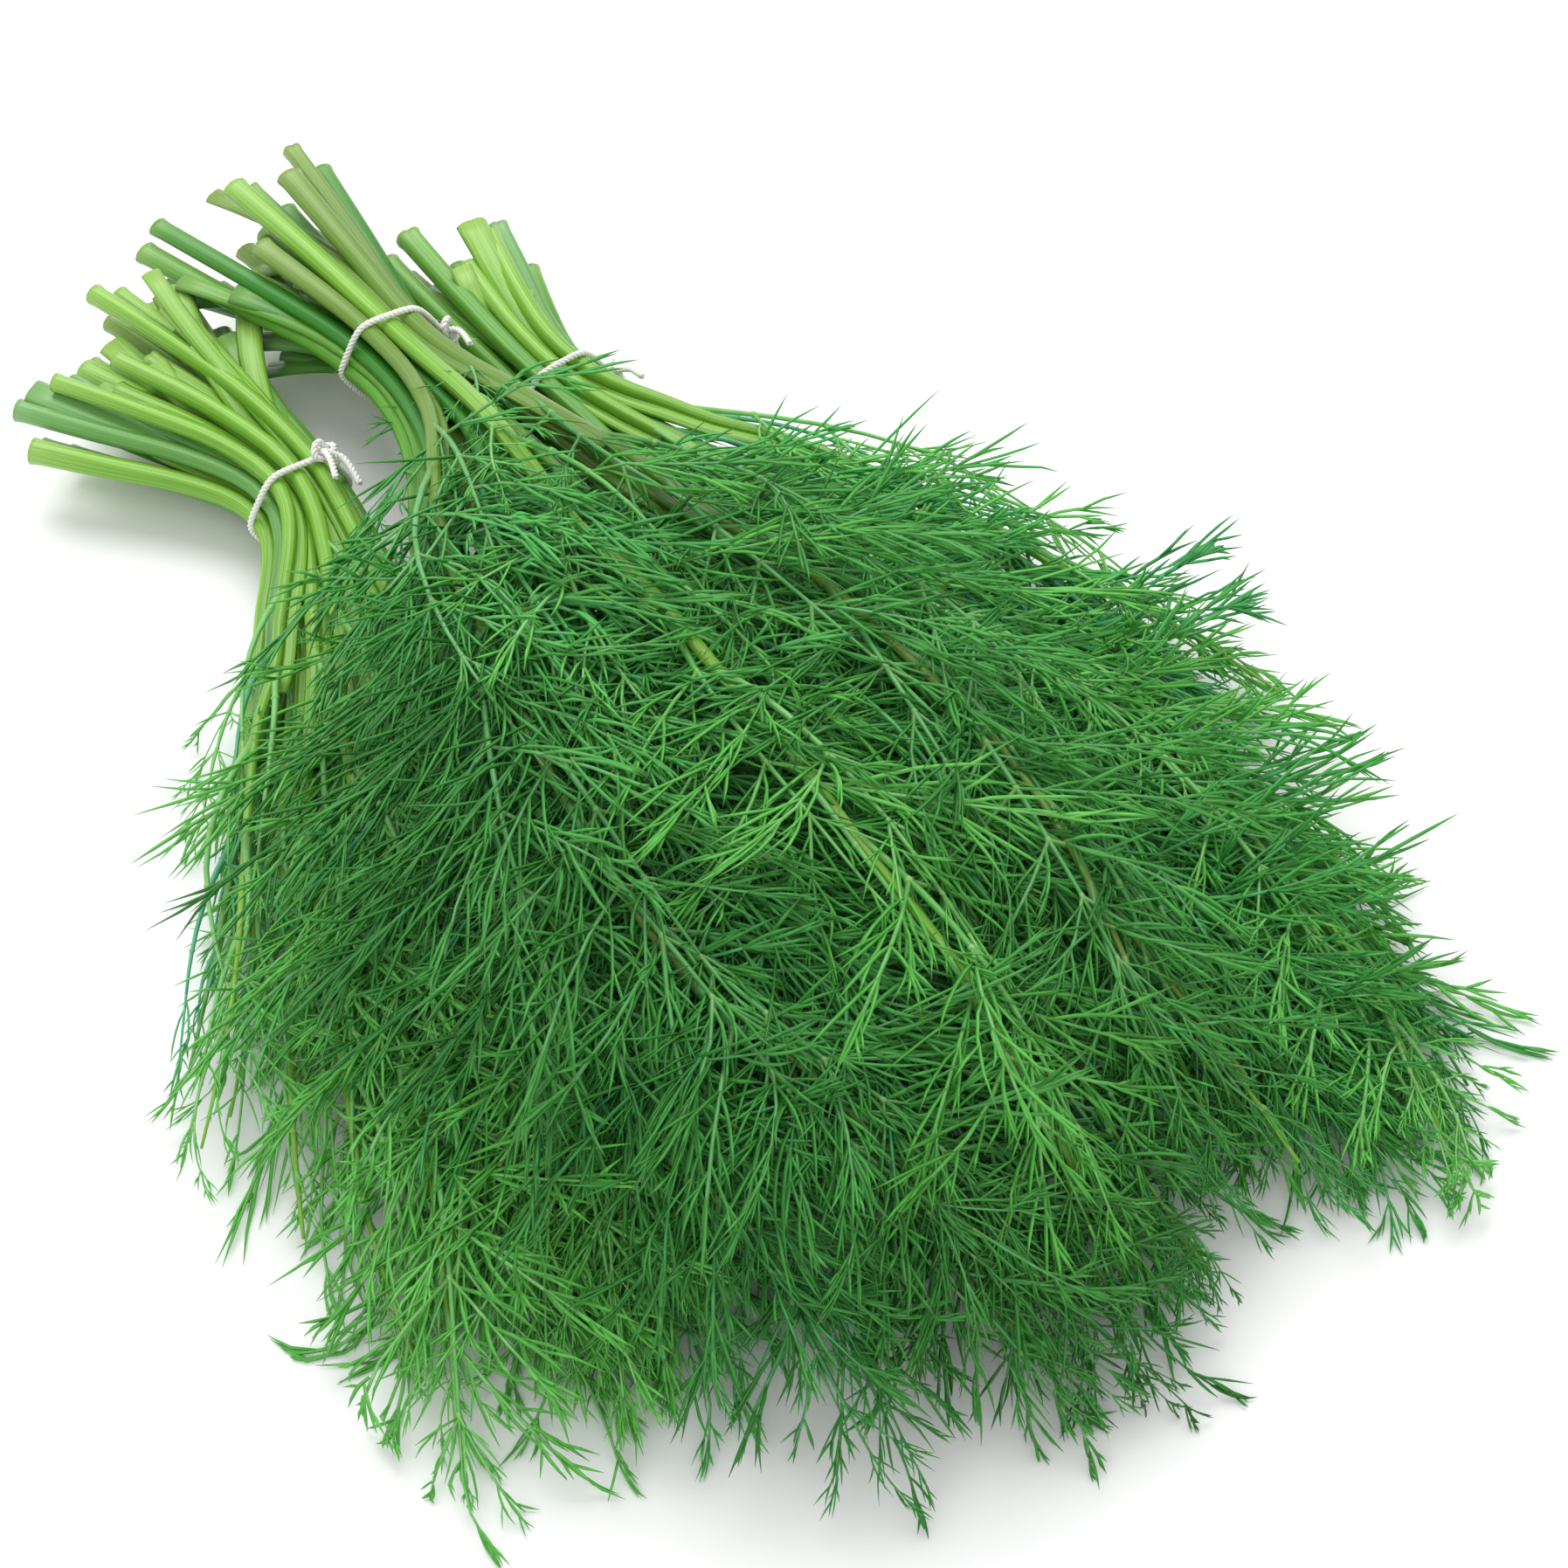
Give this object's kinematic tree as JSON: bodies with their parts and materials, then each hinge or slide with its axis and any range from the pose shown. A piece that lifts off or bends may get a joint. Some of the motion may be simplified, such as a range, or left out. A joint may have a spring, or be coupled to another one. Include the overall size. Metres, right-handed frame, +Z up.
{
  "type": "dill bunch",
  "caption": "Bunch of fresh dill lying on its side: string-tied hanks of long green stems that spread into a low mound of feathery fronds.",
  "frame": {"origin": "middle of the base of the bunch's box, on the surface it lies on", "axes": "+X from the cut stem ends to the frond tips, the bunch's length; +Y across it, towards the side of the shortest-stemmed hank; +Z up, off the surface"},
  "size_m": [0.399, 0.2666, 0.0766],
  "materials": {
    "dill": "fresh green plant tissue: satin stems, matte feathery fronds",
    "string": "thin undyed twisted cotton string, matte"
  },
  "bodies": {
    "root": {"left_sprig_01": "dill", "left_sprig_02": "dill", "left_sprig_03": "dill", "left_sprig_04": "dill", "left_sprig_05": "dill", "left_sprig_06": "dill", "left_sprig_07": "dill", "left_sprig_08": "dill", "left_sprig_09": "dill", "left_sprig_10": "dill", "left_sprig_11": "dill", "left_sprig_12": "dill", "left_sprig_13": "dill", "left_sprig_14": "dill", "left_sprig_15": "dill", "left_sprig_16": "dill", "left_sprig_17": "dill", "left_sprig_18": "dill", "left_sprig_19": "dill", "right_sprig_01": "dill", "right_sprig_02": "dill", "right_sprig_03": "dill", "right_sprig_04": "dill", "right_sprig_05": "dill", "right_sprig_06": "dill", "right_sprig_07": "dill", "right_sprig_08": "dill", "right_sprig_09": "dill", "right_sprig_10": "dill", "right_sprig_11": "dill", "right_sprig_12": "dill", "right_sprig_13": "dill", "right_sprig_14": "dill", "right_sprig_15": "dill", "right_sprig_16": "dill", "right_sprig_17": "dill", "right_sprig_18": "dill", "right_sprig_19": "dill", "middle_sprig_01": "dill", "middle_sprig_02": "dill", "middle_sprig_03": "dill", "middle_sprig_04": "dill", "middle_sprig_05": "dill", "middle_sprig_06": "dill", "middle_sprig_07": "dill", "middle_sprig_08": "dill", "middle_sprig_09": "dill", "middle_sprig_10": "dill", "middle_sprig_11": "dill", "middle_sprig_12": "dill", "middle_sprig_13": "dill", "middle_sprig_14": "dill", "middle_sprig_15": "dill", "middle_sprig_16": "dill", "middle_sprig_17": "dill", "middle_sprig_18": "dill", "middle_sprig_19": "dill", "left_tie": "string", "right_tie": "string", "middle_tie": "string"}
  },
  "joints": []
}
